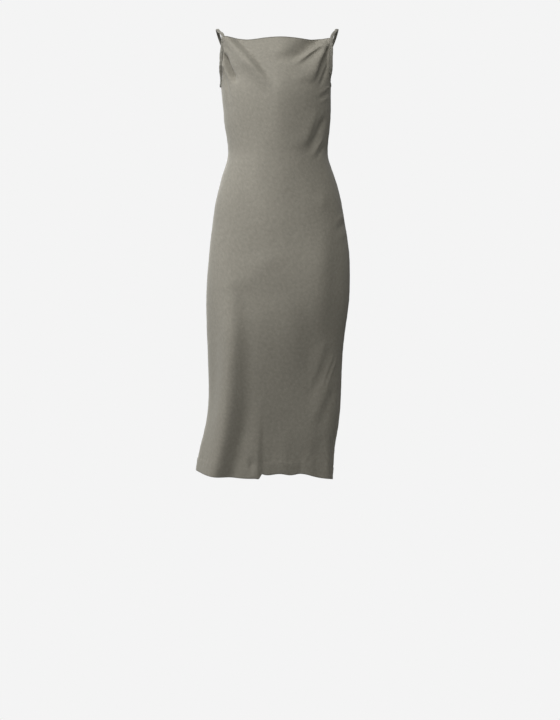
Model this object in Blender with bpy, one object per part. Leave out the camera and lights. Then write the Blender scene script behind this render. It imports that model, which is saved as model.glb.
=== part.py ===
"""Midi slip dress with thin straps, worn and filled out: four sewn pieces, each one closed wall of cloth.

The front and the back are single panels cut on the bias and joined at the side seams. One long strip a side
binds the whole armhole, from the underarm up the front edge to the neck corner, on over the shoulder as the
strap, and down the back edge to the underarm again.

Lengths in the tables are millimetres. The origin is midway between the crests of the two straps, where they
lie on the shoulders. +Z is up, the dress faces -Y, and the wearer's right side is at -X.
"""

import math

import bpy
import numpy as np

# ---------------------------------------------------------------- driving sizes, mm
CLOTH = 1.2  # wall of the panels
SEAM_GAP = 0.3  # between the pieces at each seam
BINDING_GAP = 0.9  # from an armhole edge to its binding: their straight facets come closer than this
STRAP_WIDTH = 7.6
STRAP_THICKNESS = 2.6
UNDERARM = -142.0  # level of the armhole's lowest point
TOP_LEVEL = {"front": -31.0, "back": -112.0}  # mean level of each panel's top edge
HEM_LEVEL = -1088.0  # mean level of the hem
BACK_FULLNESS = 2.2  # superellipse exponent of the back: 2 is an ellipse, more is squarer
SCOOP_DEPTH = {"front": 46.0, "back": 74.0}  # from the side seam's plane to the armhole edge's straight run
SCOOP_HEIGHT = {"front": 70.0, "back": 42.0}  # the rounded foot of each armhole edge
SCOOP_ROUNDNESS = 0.62  # 0.5 is a quarter ellipse, more is a narrower foot

FACING = {"front": -1.0, "back": 1.0}  # which way each panel lies along Y
SIDES = {"right": -1.0, "left": 1.0}  # the wearer's sides, along X

CLOTH_COLOUR = (0.198, 0.190, 0.162, 1.0)
STRAP_COLOUR = (0.205, 0.200, 0.170, 1.0)


def columns(names, rows):
    """A table as a dict of one array for each named column."""
    return dict(zip(names.split(), np.array(rows, float).T))


# Half-widths from the centre line to the side seam's plane, depths of the front and the back, and the front's
# superellipse exponent, at each level. Above the underarm the armholes cut the rings short.
SECTIONS = columns(
    "z      right  left   front  back  full",
    [
        (-20,   175,   172,   68,    78,    2.0),
        (-31,   169.7, 167.4, 71,    80,    2.0),
        (-58,   158.1, 153.8, 83,    86,    2.0),
        (-72,   154.4, 149,   89.5,  88.5,  1.98),
        (-100,  148.5, 141,   100,   93,    1.95),
        (-120,  141.5, 135,   106,   96,    1.92),
        (-142,  137.5, 132,   111.5, 99,    1.9),
        (-172,  134.5, 131.5, 116.5, 100,   1.88),
        (-200,  131.5, 131.5, 117,   98,    1.86),
        (-228,  129.5, 130,   116,   93,    1.86),
        (-260,  124.5, 127,   114.5, 85,    1.86),
        (-287,  121,   124,   113.5, 78.5,  1.86),
        (-309,  120.5, 124,   112.5, 75.5,  1.86),
        (-331,  125,   129,   112,   77,    1.88),
        (-360,  134,   139.5, 111.5, 82.5,  1.9),
        (-390,  142,   149,   111.5, 90,    1.95),
        (-419,  149,   156,   112,   98,    2.0),
        (-478,  158,   166,   115,   113,   2.0),
        (-537,  165,   175,   117,   124,   2.05),
        (-595,  170,   178,   118,   127,   2.1),
        (-664,  173,   176,   117,   124,   2.1),
        (-762,  171,   163.5, 112,   117,   2.1),
        (-860,  168,   157.5, 102,   112,   2.1),
        (-930,  169.5, 154.5, 93,    110,   2.1),
        (-982,  178,   148.5, 86.5,  110,   2.1),
        (-1018, 187,   142,   82,    110.5, 2.1),
        (-1050, 194,   139,   78,    111,   2.1),
        (-1090, 200,   136,   75,    113,   2.1),
    ],
)

# Half-widths of the back above the underarm, where it leans in towards the shoulder blades.
BACK_WIDTH = columns(
    "z right left",
    [(-96, 148, 144), (-112, 145, 141), (-126, 141, 136.5), (-142, 137.5, 132)],
)

# Level of each free edge, from the right side (-1) to the left side (1).
NECK_EDGE = {
    "front": columns(
        "across z",
        [
            (-1,    -27),
            (-0.82, -30),
            (-0.52, -37),
            (-0.2,  -33),
            (0.08,  -31),
            (0.34,  -34),
            (0.62,  -38),
            (0.86,  -33),
            (1,     -30),
        ],
    ),
    "back": columns("across z", [(-1, -98), (-0.5, -114), (0, -119), (0.5, -114), (1, -98)]),
}
HEM_EDGE = {
    "front": columns(
        "across z",
        [
            (-1,    -1078),
            (-0.7,  -1081),
            (-0.5,  -1085),
            (-0.3,  -1089),
            (-0.18, -1090),
            (-0.14, -1091),
            (-0.128, -1090),
            (-0.116, -1082),
            (-0.1, -1081),
            (0,     -1081),
            (0.15,  -1085),
            (0.25,  -1083),
            (0.5,   -1091),
            (0.75,  -1098),
            (1,     -1103),
        ],
    ),
    "back": columns("across z", [(-1, -1078), (-0.4, -1086), (0.3, -1093), (1, -1103)]),
}

# Folds, each along a crest or trough line that bends once. x is measured across the panel as seen square on,
# w is how wide the fold is, and push is how far the cloth stands out (or in, below zero). steep leans the
# fold: above zero, the side towards +X is the steep one. fade is the share of the line over which it begins
# or ends.
FOLD_COLUMNS = "x_top z_top x_mid x_low z_low w_top w_low push steep fade_top fade_low".split()
FRONT_FOLDS = {
    "neck_right_ridge": (-116, -31, -61, -21, -172, 13, 21, 14.0, 0.45, 0.0, 0.55),
    "neck_right_trough": (-104, -32, -74, -36, -102, 11, 15, -3.0, 0.0, 0.02, 0.6),
    "arm_right_trough": (-132, -58, -113, -94, -146, 9, 11, -7.0, 0.0, 0.2, 0.4),
    "neck_left_trough": (112, -33, 62, 14, -103, 13, 18, -10.5, 0.55, 0.02, 0.4),
    "neck_left_hollow": (98, -31, 88, 76, -140, 38, 40, -10.0, 0.0, 0.0, 0.5),
    "neck_left_roll": (14, -31, 14, 14, -110, 22, 24, 2.5, 0.0, 0.0, 0.6),
    "neck_left_ridge": (119, -42, 94, 77, -148, 14, 18, 7.0, 0.5, 0.2, 0.35),
    "arm_left_trough": (134, -50, 115, 96, -158, 11, 13, -5.0, -0.1, 0.15, 0.45),
    "centre_ridge": (4, -60, 2, 0, -310, 24, 26, 2.0, 0.0, 0.3, 0.4),
    "waist_left_ridge": (94, -200, 77, 54, -306, 13, 15, 3.0, 0.4, 0.4, 0.3),
    "waist_left_trough": (116, -210, 97, 68, -322, 11, 13, -5.0, 0.0, 0.3, 0.4),
    "waist_right_flat": (-66, -150, -76, -80, -580, 44, 50, -5.0, 0.0, 0.4, 0.5),
    "belly": (12, -300, 14, 10, -440, 20, 22, 1.5, 0.0, 0.5, 0.5),
    "thigh_front": (20, -500, 24, 26, -880, 120, 110, 7.0, 0.0, 0.5, 0.5),
    "hip_left_edge": (118, -440, 104, 106, -790, 34, 34, 8.0, 0.15, 0.4, 0.4),
    "thigh_ridge": (0, -530, -52, -112, -650, 34, 34, 2.6, 0.2, 0.4, 0.3),
    "thigh_crease": (6, -610, -52, -104, -730, 36, 38, -1.2, 0.0, 0.4, 0.5),
    "stride_leg": (-124, -540, -101, -153, -1120, 31, 30, 29.0, 0.3, 0.5, 0.0),
    "stride_flank": (-96, -600, -78, -112, -1120, 50, 50, 9.0, 0.0, 0.5, 0.0),
    "left_leg_back": (64, -560, 64, 64, -1120, 100, 94, -18.0, 0.0, 0.6, 0.0),
    "left_thigh_ridge": (26, -610, 42, 58, -945, 30, 30, 3.0, 0.2, 0.4, 0.5),
    "left_leg_diagonal_ridge": (117, -750, 100, 66, -900, 13, 16, 2.0, 0.2, 0.2, 0.5),
    "left_thigh_trough": (147, -860, 126, 103, -1000, 13, 15, -2.2, 0.0, 0.3, 0.5),
    "left_hem_trough": (106, -965, 108, 111, -1112, 17, 19, -3.5, 0.0, 0.5, 0.0),
    "left_hem_ridge": (130, -950, 131, 131, -1112, 12, 13, 3.0, 0.0, 0.6, 0.0),
    "right_leg_trough": (-65, -840, -82, -121, -1112, 18, 17, -6.5, 0.0, 0.6, 0.0),
    "hem_overlap": (-42, -900, -47, -50, -1112, 14, 17, 8.5, 0.86, 0.97, 0.0),
    "hem_left_tuck": (24, -1050, 24, 24, -1120, 62, 62, -7.0, 0.0, 1.0, 0.0),
}
BACK_FOLDS = {
    "shoulder_blade_right": (-58, -130, -56, -50, -250, 46, 38, 4.0, 0.0, 0.5, 0.5),
    "shoulder_blade_left": (56, -130, 56, 50, -250, 46, 38, 4.0, 0.0, 0.5, 0.5),
    "spine_hollow": (0, -130, 0, 2, -400, 26, 22, -4.0, 0.0, 0.4, 0.4),
    "waist_right_trough": (-104, -230, -86, -52, -322, 8, 13, -4.5, 0.0, 0.4, 0.5),
    "waist_left_trough": (102, -244, 88, 58, -336, 8, 12, -4.0, 0.0, 0.4, 0.5),
    "seat_right_trough": (-30, -560, -38, -62, -700, 14, 20, -4.0, 0.0, 0.5, 0.5),
    "seat_left_trough": (34, -600, 46, 70, -760, 14, 20, -4.5, 0.0, 0.5, 0.5),
    "trailing_leg": (60, -700, 66, 66, -1120, 56, 52, 22.0, 0.0, 0.95, 0.0),
    "hem_right_cone": (-112, -740, -120, -132, -1120, 22, 20, 13.0, 0.0, 0.9, 0.0),
    "hem_right_trough": (-66, -700, -70, -80, -1120, 20, 19, -13.0, 0.0, 0.9, 0.0),
    "hem_mid_cone": (-16, -800, -20, -24, -1120, 18, 19, 12.0, 0.0, 0.9, 0.0),
    "hem_mid_trough": (24, -780, 22, 20, -1120, 18, 16, -11.0, 0.0, 0.9, 0.0),
    "hem_left_trough": (96, -820, 98, 100, -1120, 16, 16, -9.0, 0.0, 0.9, 0.0),
}
FOLDS = {"front": FRONT_FOLDS, "back": BACK_FOLDS}
SEAM_CALM = 16.0  # folds die out over this much cloth beside a side seam
ARMHOLE_CALM = 5.0  # and over this much beside an armhole
TOP_SETTLE = {"front": 55.0, "back": 29.0}  # rows lose the shape of the neck edge over this height
HEM_SETTLE = 130.0  # and take on the shape of the hem over this one

# Rows of mesh points down each panel, and the points across it.
FRONT_COLUMNS = 32
BACK_COLUMNS = 26
SCOOP_LEVELS = (70, 57, 44, 32, 21, 12, 5, 0)  # rows along the armhole's rounded foot, above the underarm
NECK_LEVELS = {"front": [-31, -44, -58], "back": []}
BODY_ROWS = {"front": 29, "back": 26}
# Levels of the body's rows by share of their number: closest below the underarm, close at waist and hem.
BODY_LEVELS = columns(
    "share z",
    [
        (0,    -142),
        (0.1,  -171),
        (0.2,  -226),
        (0.3,  -291),
        (0.45, -412),
        (0.6,  -604),
        (0.8,  -873),
        (0.9,  -989),
        (1,    -1088),
    ],
)
DENSE = 600  # points along a ring before it is spaced out evenly by length

# Where the strap's middle line runs between the front binding and the back binding, for a strap at +X.
STRAP_ROUTE = columns(
    "x     y     z",
    [
        (141,  -24,  -10.5),
        (146,  -9,   -2.4),
        (147,  4,    -1.3),
        (146,  19,   -6),
        (140,  38,   -25),
        (129,  56,   -55),
        (116,  69,   -84),
    ],
)
FORWARD_TURN = {-1.0: 0.9, 1.0: 0.2}  # how far a binding turns from the cloth to face straight ahead or back
STRAP_SEGMENTS = 22  # over the shoulder
STRAP_SIDES = 8


# ---------------------------------------------------------------- curves through tables
def through(x, xs, ys):
    """The smoothest curve through a table's points (a natural cubic spline), held level beyond its ends."""
    order = np.argsort(xs)
    xs, ys = np.asarray(xs, float)[order], np.asarray(ys, float)[order]
    step = np.diff(xs)
    size = len(xs)
    system = np.eye(size)
    change = np.zeros(size)
    for i in range(1, size - 1):
        system[i, i - 1 : i + 2] = step[i - 1], 2 * (step[i - 1] + step[i]), step[i]
        change[i] = 6 * ((ys[i + 1] - ys[i]) / step[i] - (ys[i] - ys[i - 1]) / step[i - 1])
    bend = np.linalg.solve(system, change)
    x = np.clip(x, xs[0], xs[-1])
    i = np.clip(np.searchsorted(xs, x) - 1, 0, size - 2)
    left, right = (xs[i + 1] - x) / step[i], (x - xs[i]) / step[i]
    cubic = (left**3 - left) * bend[i] + (right**3 - right) * bend[i + 1]
    return left * ys[i] + right * ys[i + 1] + cubic * step[i] ** 2 / 6


def eased(t):
    """0 to 1 with no corner at either end."""
    t = np.clip(t, 0, 1)
    return t * t * (3 - 2 * t)


# ---------------------------------------------------------------- the form of a panel
def half_width(panel, side, z):
    whole = through(z, SECTIONS["z"], SECTIONS[side])
    if panel == "back":
        return np.where(z > UNDERARM, through(z, BACK_WIDTH["z"], BACK_WIDTH[side]), whole)
    return whole


def edge_depth(panel, z):
    """How far the panel's side edge lies from the side seam's plane: nothing below the underarm."""
    climbed = np.clip((z - UNDERARM) / SCOOP_HEIGHT[panel], 0, 1)
    return SCOOP_DEPTH[panel] * (1 - (1 - climbed) ** 2) ** SCOOP_ROUNDNESS


def ring(panel, s, z):
    """Points of the smooth form at level z, with s from -1 at the right edge to 1 at the left edge."""
    depth = through(z, SECTIONS["z"], SECTIONS[panel])
    full = through(z, SECTIONS["z"], SECTIONS["full"]) if panel == "front" else BACK_FULLNESS
    half = np.where(s < 0, half_width(panel, "right", z), half_width(panel, "left", z))
    turn = np.arccos(np.clip(edge_depth(panel, z) / depth, 0, 1) ** (full / 2))
    power = 2 / full
    x = np.sign(s) * half * np.sin(np.abs(s) * turn) ** power
    y = FACING[panel] * (depth * np.cos(np.abs(s) * turn) ** power + SEAM_GAP / 2)
    return x, y


def along(x, y):
    """Length of cloth from the centre line to each point of a ring, below zero on the right."""
    run = np.concatenate([[0], np.cumsum(np.hypot(np.diff(x), np.diff(y)))])
    return run - np.interp(0, x, run)


def girth(panel, x, z):
    """The length of cloth from the centre line to the point that lies x across at level z."""
    ring_x, ring_y = ring(panel, np.linspace(-1, 1, DENSE), np.full(DENSE, float(z)))
    return np.interp(x, ring_x, along(ring_x, ring_y))


def fold_push(panel, fold, cloth, z):
    """How far one fold moves the cloth outwards, at the given lengths of cloth and levels."""
    down = (fold["z_top"] - z) / (fold["z_top"] - fold["z_low"])
    middle = (fold["z_top"] + fold["z_low"]) / 2
    top = girth(panel, fold["x_top"], fold["z_top"])
    mid = girth(panel, fold["x_mid"], middle)
    low = girth(panel, fold["x_low"], fold["z_low"])
    bend = top - 2 * mid + low
    line = top + down * (4 * mid - 3 * top - low) + 2 * bend * down**2
    lean = (4 * mid - 3 * top - low + 4 * bend * down) / (fold["z_top"] - fold["z_low"])
    off = (cloth - line) / np.sqrt(1 + lean**2)
    width = fold["w_top"] + (fold["w_low"] - fold["w_top"]) * np.clip(down, 0, 1)
    off = off / (width * (1 - fold["steep"] * np.tanh(off / width)))
    begun = eased(down / fold["fade_top"]) if fold["fade_top"] else (down >= 0)
    ended = eased((1 - down) / fold["fade_low"]) if fold["fade_low"] else (down <= 1)
    return fold["push"] * begun * ended * np.exp(-(off**2))


def folded_row(panel, levels, count):
    """count points, evenly spaced along the cloth, of the folded row whose level at each s is given."""
    s = np.linspace(-1, 1, DENSE)
    z = levels(s)
    x, y = ring(panel, s, z)
    cloth = along(x, y)
    push = sum(fold_push(panel, dict(zip(FOLD_COLUMNS, row)), cloth, z) for row in FOLDS[panel].values())
    calm = SEAM_CALM + (ARMHOLE_CALM - SEAM_CALM) * eased((z - UNDERARM) / 40)
    push = push * eased((cloth - cloth[0]) / calm) * eased((cloth[-1] - cloth) / calm)
    dx, dy = np.gradient(x, cloth), np.gradient(y, cloth)
    outward = np.hypot(dx, dy) * FACING[panel]
    x, y = x - push * dy / outward, y + push * dx / outward
    run = np.concatenate([[0], np.cumsum(np.hypot(np.diff(x), np.diff(y)))])
    even = np.linspace(0, run[-1], count)
    return np.stack([np.interp(even, run, v) for v in (x, y, z)], axis=1)


def row_levels(panel):
    """For each row from the top edge to the hem, the function that gives its level at s."""
    top = TOP_LEVEL[panel]
    height = min(SCOOP_HEIGHT[panel], top - UNDERARM)
    scoop = [UNDERARM + height * rise / SCOOP_LEVELS[0] for rise in SCOOP_LEVELS]

    def level(nominal):
        def at(s):
            near_top = eased((nominal - top) / TOP_SETTLE[panel] + 1)
            near_hem = eased((HEM_LEVEL - nominal) / HEM_SETTLE + 1)
            return (
                nominal
                + near_top * (through(s, NECK_EDGE[panel]["across"], NECK_EDGE[panel]["z"]) - top)
                + near_hem * (through(s, HEM_EDGE[panel]["across"], HEM_EDGE[panel]["z"]) - HEM_LEVEL)
            )

        return at

    share = np.linspace(0, 1, BODY_ROWS[panel] + 1)[1:]
    body = through(share, BODY_LEVELS["share"], BODY_LEVELS["z"])
    return [level(z) for z in [*NECK_LEVELS[panel], *scoop, *body]]


def panel_points(panel, count):
    """The panel's outer points, a row for each level and a column for each step across."""
    return np.stack([folded_row(panel, levels, count) for levels in row_levels(panel)])


# ---------------------------------------------------------------- walls and strips
def unit(v):
    return v / np.linalg.norm(v, axis=-1, keepdims=True)


def grid_normals(points, facing):
    """Unit normals of a grid of points, pointing out of the dress."""
    across = np.gradient(points, axis=1)
    down = np.gradient(points, axis=0)
    return unit(np.cross(across, down) * facing)


def wall_mesh(name, points, facing, seam_from):
    """A closed wall: the grid of outer points, the same grid moved in by the cloth's thickness, and the rim.

    Along the side seams, which start at row seam_from, it is moved in along the plane of the seam.
    """
    rows, cols = points.shape[:2]
    normal = grid_normals(points, facing)
    normal[seam_from:, [0, -1], 1] = 0
    inner = points - unit(normal) * CLOTH
    vertices = np.concatenate([points.reshape(-1, 3), inner.reshape(-1, 3)]) * 0.001
    size = rows * cols
    faces = []

    def quad(a, b, c, d):
        faces.extend([(a, b, c), (a, c, d)] if facing > 0 else [(c, b, a), (d, c, a)])

    def at(r, c):
        return r * cols + c

    for r in range(rows - 1):
        for c in range(cols - 1):
            a, b, e, f = at(r, c), at(r, c + 1), at(r + 1, c + 1), at(r + 1, c)
            quad(a, b, e, f)
            quad(size + f, size + e, size + b, size + a)
    rim = [at(0, c) for c in range(cols)] + [at(r, cols - 1) for r in range(1, rows)]
    rim += [at(rows - 1, c) for c in range(cols - 2, -1, -1)] + [at(r, 0) for r in range(rows - 2, 0, -1)]
    for a, b in zip(rim, rim[1:] + rim[:1]):
        quad(b, a, size + a, size + b)
    return add_object(name, vertices, faces)


def add_object(name, vertices, faces):
    mesh = bpy.data.meshes.new(name)
    mesh.from_pydata([tuple(v) for v in vertices], [], faces)
    mesh.validate()
    mesh.update()
    obj = bpy.data.objects.new(name, mesh)
    bpy.context.scene.collection.objects.link(obj)
    mesh.shade_smooth()
    mesh.set_sharp_from_angle(angle=math.radians(40))
    return obj


def edge_frames(panel, points, side):
    """Points of the binding's middle line beside one armhole edge, and the way the binding faces there."""
    facing = FACING[panel]
    edge = points[: armhole_rows(panel), 0 if side == "right" else -1]
    x, y, z = edge.T
    half, depth = half_width(panel, side, z), through(z, SECTIONS["z"], SECTIONS[panel])
    outward = unit(np.stack([x / half**2, y / depth**2, 0 * x], axis=1))
    tangent = unit(np.gradient(edge, axis=0))
    level = np.clip((z[:, None] - UNDERARM) / SCOOP_HEIGHT["front"], 0, 1)
    forward = FORWARD_TURN[facing] * eased(level * 1.6)
    face = outward * (1 - forward) + np.array([0, facing, 0]) * forward
    face = unit(face - tangent * (face * tangent).sum(axis=1, keepdims=True))
    beyond = np.cross(tangent, face)
    beyond *= -np.sign(beyond @ np.array([-SIDES[side], facing, -1]))[:, None]
    turned = np.sqrt(1 - np.clip((face * outward).sum(axis=1, keepdims=True), -1, 1) ** 2)
    away = BINDING_GAP + STRAP_WIDTH / 2 + turned * STRAP_THICKNESS / 2
    return edge + beyond * away - outward * CLOTH / 2, face


def armhole_rows(panel):
    """How many rows lie from the panel's top corner down to the underarm, both counted."""
    return len(NECK_LEVELS[panel]) + len(SCOOP_LEVELS)


def strap_path(side, panels):
    """The strip's middle line as a closed loop, and the way that its outer face looks at each point."""
    ends = {panel: edge_frames(panel, points, side) for panel, points in panels.items()}
    (front, front_normal), (back, back_normal) = ends["front"], ends["back"]
    route = np.stack([STRAP_ROUTE["x"] * SIDES[side], STRAP_ROUTE["y"], STRAP_ROUTE["z"]], axis=1)
    guide = np.concatenate([front[1::-1], route, back[:2]])
    run = np.concatenate([[0], np.cumsum(np.linalg.norm(np.diff(guide, axis=0), axis=1))])
    even = np.linspace(run[1], run[-2], STRAP_SEGMENTS + 1)[1:-1]
    over = np.stack([through(even, run, guide[:, k]) for k in range(3)], axis=1)
    share = np.linspace(0, 1, len(over) + 2)[1:-1, None]
    lift = np.array([0, 0, 1.0]) * np.sin(np.pi * share)
    over_normal = unit(front_normal[0] * (1 - share) ** 2 + back_normal[0] * share**2 + 1.4 * lift)
    underarm = (front[-1:] + back[-1:]) / 2
    line = np.concatenate([underarm, front[-2::-1], over, back[:-1]])
    normal = np.concatenate([front_normal[::-1], over_normal, back_normal[:-1]])
    return line, normal


def strap_mesh(name, line, normal):
    """A closed loop of strip: a rounded flat section swept along the line."""
    tangent = unit(np.roll(line, -1, axis=0) - np.roll(line, 1, axis=0))
    across = unit(np.cross(tangent, normal))
    out = np.cross(across, tangent)
    angles = (np.arange(STRAP_SIDES) + 0.5) * 2 * math.pi / STRAP_SIDES
    squareness = 0.5
    wide = np.sign(np.cos(angles)) * np.abs(np.cos(angles)) ** squareness * STRAP_WIDTH / 2
    thick = np.sign(np.sin(angles)) * np.abs(np.sin(angles)) ** squareness * STRAP_THICKNESS / 2
    wide *= STRAP_WIDTH / 2 / wide.max()
    thick *= STRAP_THICKNESS / 2 / thick.max()
    loops = line[:, None] + across[:, None] * wide[None, :, None] + out[:, None] * thick[None, :, None]
    faces = []
    count = len(line)
    for i in range(count):
        here, there = i * STRAP_SIDES, (i + 1) % count * STRAP_SIDES
        for k in range(STRAP_SIDES):
            n = (k + 1) % STRAP_SIDES
            faces += [(here + k, there + k, there + n), (here + k, there + n, here + n)]
    return add_object(name, loops.reshape(-1, 3) * 0.001, faces)


# ---------------------------------------------------------------- materials
def cloth_material(name, colour, roughness):
    material = bpy.data.materials.new(name)
    material.use_nodes = True
    shader = material.node_tree.nodes["Principled BSDF"]
    shader.inputs["Base Color"].default_value = colour
    shader.inputs["Roughness"].default_value = roughness
    shader.inputs["Metallic"].default_value = 0.0
    return material


def main():
    for obj in list(bpy.data.objects):
        bpy.data.objects.remove(obj, do_unlink=True)
    satin = cloth_material("bias_satin", CLOTH_COLOUR, 0.55)
    binding = cloth_material("strap_satin", STRAP_COLOUR, 0.55)
    panels = {"front": panel_points("front", FRONT_COLUMNS), "back": panel_points("back", BACK_COLUMNS)}
    for panel, points in panels.items():
        wall = wall_mesh(f"{panel}_panel", points, FACING[panel], armhole_rows(panel) - 1)
        wall.data.materials.append(satin)
    for side in SIDES:
        line, normal = strap_path(side, panels)
        strap_mesh(f"strap_{side}", line, normal).data.materials.append(binding)


main()
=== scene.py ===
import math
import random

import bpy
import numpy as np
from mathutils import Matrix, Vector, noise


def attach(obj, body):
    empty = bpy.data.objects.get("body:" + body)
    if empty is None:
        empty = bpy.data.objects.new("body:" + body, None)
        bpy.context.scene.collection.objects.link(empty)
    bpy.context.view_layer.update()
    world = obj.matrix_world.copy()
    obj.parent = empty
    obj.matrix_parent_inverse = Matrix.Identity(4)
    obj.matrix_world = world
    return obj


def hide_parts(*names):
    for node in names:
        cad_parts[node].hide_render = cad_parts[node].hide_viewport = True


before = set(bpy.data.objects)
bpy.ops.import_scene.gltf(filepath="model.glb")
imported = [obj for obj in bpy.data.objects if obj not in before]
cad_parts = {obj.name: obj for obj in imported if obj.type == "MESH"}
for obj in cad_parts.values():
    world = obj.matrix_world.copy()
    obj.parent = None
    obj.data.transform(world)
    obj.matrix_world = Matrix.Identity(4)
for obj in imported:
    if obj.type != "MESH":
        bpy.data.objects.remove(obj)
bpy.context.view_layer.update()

# Looks of the worn slip midi dress: fine panels with their creases, rolled edges, bindings and stitching,
# and a plain pale studio. The panels repeat the part's own level sections at a finer step and add the small
# folds. Lengths in the tables are millimetres in the frame's own axes: +Z up, the dress faces -Y, and the
# origin is midway between the crests of the straps.

MM = 0.001


def columns(names, rows):
    """A table as a dict of one array for each named column."""
    return dict(zip(names.split(), np.array(rows, float).T))


# ---------------------------------------------------------------- driving sizes, mm
SHELL = 0.8  # wall of the panels that are shown
UNDERARM = -142.0  # level of the armholes' lowest point
TOP_LEVEL = {"front": -31.0, "back": -112.0}  # nominal levels of the top edges, before their own curve
HEM_LEVEL = -1088.0  # and of the hem
BACK_FULLNESS = 2.2  # how square the back's level sections are: 2 is a plain ellipse
SEAM_GAP = 0.02  # between the two panels at the side seams
SCOOP_DEPTH = {"front": 46.0, "back": 74.0}  # how far each armhole is cut into its panel from the side seam
SCOOP_HEIGHT = {"front": 70.0, "back": 42.0}  # and how far above the underarm that depth is reached
SCOOP_ROUNDNESS = 0.62
TOP_SETTLE = {"front": 55.0, "back": 29.0}  # the rows settle to the top edge's curve over this height
HEM_SETTLE = 130.0  # and to the hem's
SEAM_CALM = 16.0  # folds die out over this much cloth beside a seam
ARMHOLE_CALM = 4.5  # and beside an armhole
CALM_BLEND = 40.0  # the one passes into the other over this height
FACING = {"front": -1.0, "back": 1.0}
SIDES = {"right": -1.0, "left": 1.0}

STRAP_WIDTH = 7.6
STRAP_THICKNESS = 2.4
BINDING_LAP = 1.2  # how far a binding covers the edge that it is sewn round
BINDING_LIFT = 1.1  # and how far its middle stands out from the outer face of the cloth
FOOT_LIFT = {"right": 1.5, "left": -0.8}  # the same at the foot of each armhole
HEM_TURN = 30.0  # depth of the turned hem
HEM_PROUD = 0.8  # how far its double cloth stands out
HEM_STEP = 1.6  # height over which the cloth steps out to it

# Gathers along an edge: the pitch, how far they reach into the cloth, their height, and the way they lean.
ARMHOLE_GATHERS = (8.5, 17, 1.0)
SEAM_GATHERS = (21, 9, 0.55)
HEM_GATHERS = (15, 16, 0.8, 0.5)
STRAP_GATHERS = (9.0, 10, 1.0)
# Sunk lines in the cloth: depth and half-width.
SEAM_GROOVE = (0.7, 1.6)
BINDING_GROOVE = (1.6, 2.6)
HEM_GROOVE = (0.8, 1.3)
# Each gather's own size is the edge's times a number in these ranges. For width, that is times the pitch.
GATHER_RANGES = {"width": (0.2, 0.34), "reach": (0.5, 1.3), "height": (0.35, 1.2), "pitch": (0.7, 1.4)}
GATHER_LEAN = 0.35  # and it leans up to this much more, either way
GATHER_WIDENING = 0.8  # at its reach a gather is wider by this share
SEAM_SPAN = 960.0  # gathers are laid out over this length at each side seam
HEM_SPAN = 700.0  # and at each hem, which is more than either panel is wide
UNDERARM_BLEND = 20.0  # at the underarm the binding's groove ends over this length and the seam's begins
# Soft unevenness of the cloth: height, width of its features, how far they are stretched downwards, and a
# place in the noise.
RIPPLES = [(0.5, 70, 1.6, 0), (0.22, 24, 1.5, 500)]

PANEL_COLUMNS = {"front": 200, "back": 160}
EDGE_CLOSER = 0.35  # how much closer the columns stand at the side edges than on average
ROW_STEPS = columns("z step", [(-31, 3), (-150, 3.6), (-350, 4.4), (-450, 5.6), (-950, 5.6), (-1068, 4)])
SCOOP_ROWS = 26  # in the rounding of an armhole
FOOT_ROWS = np.array([0.3, 0.8, 1.6, 2.8, 4.4, 6.6, 9.4])  # how far the first rows lie below the underarm
HEM_BAND = 20.0  # height of the last rows above the hem
HEM_ROWS = 9
DENSE = 900  # points of a level section before it is spread over the columns

# At each level: half-widths from the centre line to the side seam, the depths of the front and the back, and
# how full the front's section is. 2 is an ellipse, and less is more pointed.
SECTIONS = columns(
    "z      right  left   front  back  full",
    [
        (-20,   175,   172,   68,    78,    2.0),
        (-31,   169.7, 167.4, 71,    80,    2.0),
        (-58,   158.1, 153.8, 83,    86,    2.0),
        (-72,   154.4, 149,   90,    88.5,  1.98),
        (-100,  148.5, 141,   99.5,  93,    1.95),
        (-120,  141.5, 135,   105,   96,    1.92),
        (-142,  137.5, 132,   111.5, 99,    1.9),
        (-172,  134.5, 131.5, 116.5, 100,   1.88),
        (-200,  131.5, 131.5, 117,   98,    1.86),
        (-228,  129.5, 130,   116,   93,    1.86),
        (-260,  124.5, 127,   114.5, 85,    1.86),
        (-287,  121,   124,   113.5, 78.5,  1.86),
        (-309,  120.5, 124,   112.5, 75.5,  1.86),
        (-331,  125,   129,   112,   77,    1.88),
        (-360,  134,   139.5, 111.5, 82.5,  1.9),
        (-390,  142,   149,   111.5, 90,    1.95),
        (-419,  149,   156,   112,   98,    2.0),
        (-478,  158,   166,   115,   113,   2.0),
        (-537,  165,   175,   117,   124,   2.05),
        (-595,  170,   178,   118,   127,   2.1),
        (-664,  173,   176,   117,   124,   2.1),
        (-762,  171,   163.5, 112,   117,   2.1),
        (-860,  168,   157.5, 102,   112,   2.1),
        (-930,  169.5, 154.5, 93,    110,   2.1),
        (-982,  178,   148.5, 86.5,  110,   2.1),
        (-1018, 187,   142,   82,    110.5, 2.1),
        (-1050, 194,   139,   78,    111,   2.1),
        (-1090, 200,   136,   75,    113,   2.1),
    ],
)
# Half-widths of the back's own armhole edges, above the underarm.
BACK_WIDTH = columns(
    "z right left",
    [
        (-96, 148, 144),
        (-112, 145, 141),
        (-126, 141, 136.5),
        (-142, 137.5, 132),
    ],
)
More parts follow.
